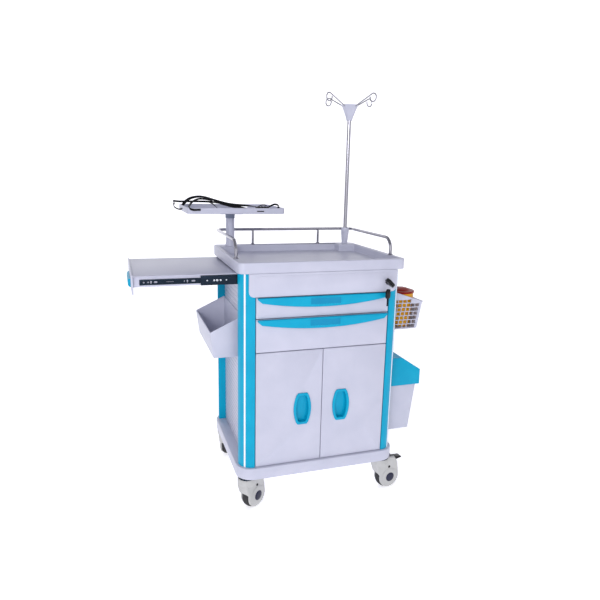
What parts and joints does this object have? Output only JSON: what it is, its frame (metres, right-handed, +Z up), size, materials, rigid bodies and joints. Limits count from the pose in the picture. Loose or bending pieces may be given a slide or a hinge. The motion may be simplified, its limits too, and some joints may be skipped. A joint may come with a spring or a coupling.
{
  "type": "hospital crash cart",
  "caption": "Hospital crash cart with drawers, a cupboard, pull-out writing shelf, railed tray top, swivelling defibrillator platform, drip pole, side bins and casters.",
  "frame": {"origin": "on the floor, under the middle of the whole cart's bounding box with the writing shelf pulled out", "axes": "+Z up, drawers and doors face -Y, the writing shelf pulls out to -X"},
  "size_m": [1.1255, 0.6457, 1.5665],
  "materials": {
    "white_abs": "moulded ABS, satin, white with a cool tint",
    "teal_abs": "coloured ABS, satin, turquoise blue",
    "chrome": "polished stainless steel or chromed",
    "zinc_steel": "dark zinc-plated slide steel",
    "grey_plastic": "grey moulded plastic",
    "caster_grey": "grey nylon, fine texture",
    "tyre_rubber": "dark polyurethane tread",
    "black_plastic": "black moulded plastic",
    "webbing": "black woven webbing",
    "yellow_pp": "yellow polypropylene",
    "red_pp": "red polypropylene"
  },
  "bodies": {
    "cart_body": {"base_frame": "white_abs", "tray_top": "white_abs", "guard_rail": "chrome", "column_front_left": "teal_abs", "column_front_right": "teal_abs", "column_back_left": "teal_abs", "column_back_right": "teal_abs", "side_panel_left": "white_abs", "side_panel_right": "white_abs", "back_panel": "white_abs", "drawer_divider": "white_abs", "liner_left": "white_abs", "liner_right": "white_abs", "fascia_panel": "white_abs", "pole_socket": "white_abs", "platform_post": "white_abs", "side_bin": "white_abs", "side_basket": "white_abs", "waste_bin": "white_abs", "slide_outer_front": "zinc_steel", "slide_outer_back": "zinc_steel"},
    "drawer_1": {"drawer_1": "white_abs", "drawer_1_handle": "teal_abs"},
    "drawer_2": {"drawer_2": "white_abs", "drawer_2_handle": "teal_abs"},
    "door_left": {"door_left": "white_abs", "door_left_pull": "teal_abs"},
    "door_right": {"door_right": "white_abs", "door_right_pull": "teal_abs"},
    "writing_shelf": {"shelf_board": "white_abs", "shelf_end_panel": "white_abs", "shelf_pull": "teal_abs", "slide_inner_front": "zinc_steel", "slide_inner_back": "zinc_steel"},
    "slide_middle": {"slide_middle_front": "zinc_steel", "slide_middle_back": "zinc_steel"},
    "drip_pole": {"drip_pole": "chrome", "pole_head": "white_abs", "pole_hooks": "chrome"},
    "platform": {"platform_swivel": "grey_plastic", "platform_tray": "white_abs", "strap_long": "webbing", "strap_short": "webbing", "strap_buckle": "grey_plastic"},
    "lock_key": {"lock_key": "black_plastic", "lock_barrel": "chrome"},
    "spare_key": {"spare_key": "black_plastic"},
    "waste_lid": {"waste_lid": "teal_abs"},
    "sharps_box": {"sharps_box": "yellow_pp"},
    "sharps_lid": {"sharps_lid": "red_pp"},
    "caster_front_left": {"caster_fork_front_left": "caster_grey"},
    "wheel_front_left": {"caster_wheel_front_left": "tyre_rubber"},
    "caster_front_right": {"caster_fork_front_right": "caster_grey"},
    "wheel_front_right": {"caster_wheel_front_right": "tyre_rubber"},
    "pedal_front_right": {"brake_pedal_front_right": "black_plastic"},
    "caster_back_left": {"caster_fork_back_left": "caster_grey"},
    "wheel_back_left": {"caster_wheel_back_left": "tyre_rubber"},
    "pedal_back_left": {"brake_pedal_back_left": "black_plastic"},
    "caster_back_right": {"caster_fork_back_right": "caster_grey"},
    "wheel_back_right": {"caster_wheel_back_right": "tyre_rubber"}
  },
  "joints": [
    {"name": "drawer_1_slide", "type": "slide", "parent": "cart_body", "child": "drawer_1", "axis": [0, -1, 0], "range_m": [0, 0.34]},
    {"name": "drawer_2_slide", "type": "slide", "parent": "cart_body", "child": "drawer_2", "axis": [0, -1, 0], "range_m": [0, 0.34]},
    {"name": "door_left_hinge", "type": "hinge", "parent": "cart_body", "child": "door_left", "pos_m": [-0.1425, -0.2751, 0.40525], "axis": [0, 0, -1], "range_deg": [0, 105]},
    {"name": "door_right_hinge", "type": "hinge", "parent": "cart_body", "child": "door_right", "pos_m": [0.3515, -0.2751, 0.40525], "axis": [0, 0, 1], "range_deg": [0, 105]},
    {"name": "shelf_slide", "type": "slide", "parent": "cart_body", "child": "writing_shelf", "axis": [1, 0, 0], "range_m": [0, 0.36]},
    {"name": "slide_middle_slide", "type": "slide", "parent": "cart_body", "child": "slide_middle", "axis": [1, 0, 0], "range_m": [0, 0.18]},
    {"name": "drip_pole_slide", "type": "slide", "parent": "cart_body", "child": "drip_pole", "axis": [0, 0, 1], "range_m": [0, 0.3]},
    {"name": "platform_swivel", "type": "hinge", "parent": "cart_body", "child": "platform", "pos_m": [-0.1455, 0.1754, 1.0581], "axis": [0, 0, 1], "continuous": true},
    {"name": "lock_turn", "type": "hinge", "parent": "cart_body", "child": "lock_key", "pos_m": [0.3442, -0.2874, 0.8614], "axis": [0, 1, 0], "range_deg": [-45, 45]},
    {"name": "spare_key_swing", "type": "hinge", "parent": "cart_body", "child": "spare_key", "pos_m": [0.336, -0.3081, 0.8365], "axis": [0, 1, 0], "range_deg": [-30, 30]},
    {"name": "waste_lid_hinge", "type": "hinge", "parent": "cart_body", "child": "waste_lid", "pos_m": [0.403, -0.0646, 0.5385], "axis": [0, -1, 0], "range_deg": [0, 55]},
    {"name": "sharps_lift", "type": "slide", "parent": "cart_body", "child": "sharps_box", "axis": [0, 0, 1], "range_m": [0, 0.16]},
    {"name": "sharps_lid_hinge", "type": "hinge", "parent": "sharps_box", "child": "sharps_lid", "pos_m": [0.4285, -0.1276, 0.7873], "axis": [0, -1, 0], "range_deg": [0, 85]},
    {"name": "swivel_front_left", "type": "hinge", "parent": "cart_body", "child": "caster_front_left", "pos_m": [-0.1695, -0.2421, 0.143], "axis": [0, 0, 1], "continuous": true},
    {"name": "roll_front_left", "type": "hinge", "parent": "caster_front_left", "child": "wheel_front_left", "pos_m": [-0.14104, -0.22173, 0.05], "axis": [-0.5821, 0.8131, 0], "continuous": true},
    {"name": "swivel_front_right", "type": "hinge", "parent": "cart_body", "child": "caster_front_right", "pos_m": [0.3785, -0.2421, 0.143], "axis": [0, 0, 1], "continuous": true},
    {"name": "roll_front_right", "type": "hinge", "parent": "caster_front_right", "child": "wheel_front_right", "pos_m": [0.41305, -0.2365, 0.05], "axis": [-0.1599, 0.9871, 0], "continuous": true},
    {"name": "brake_front_right", "type": "hinge", "parent": "caster_front_right", "child": "pedal_front_right", "pos_m": [0.42391, -0.23475, 0.118], "axis": [-0.1599, 0.9871, 0], "range_deg": [0, 12]},
    {"name": "swivel_back_left", "type": "hinge", "parent": "cart_body", "child": "caster_back_left", "pos_m": [-0.1695, 0.1829, 0.143], "axis": [0, 0, 1], "continuous": true},
    {"name": "roll_back_left", "type": "hinge", "parent": "caster_back_left", "child": "wheel_back_left", "pos_m": [-0.15307, 0.2138, 0.05], "axis": [-0.8829, 0.4695, 0], "continuous": true},
    {"name": "brake_back_left", "type": "hinge", "parent": "caster_back_left", "child": "pedal_back_left", "pos_m": [-0.1479, 0.22352, 0.118], "axis": [-0.8829, 0.4695, 0], "range_deg": [0, 12]},
    {"name": "swivel_back_right", "type": "hinge", "parent": "cart_body", "child": "caster_back_right", "pos_m": [0.3785, 0.1829, 0.143], "axis": [0, 0, 1], "continuous": true},
    {"name": "roll_back_right", "type": "hinge", "parent": "caster_back_right", "child": "wheel_back_right", "pos_m": [0.41118, 0.19544, 0.05], "axis": [-0.3584, 0.9336, 0], "continuous": true}
  ],
  "couplings": [
    {"joint": "slide_middle_slide", "follows": "shelf_slide", "ratio": 0.5}
  ]
}
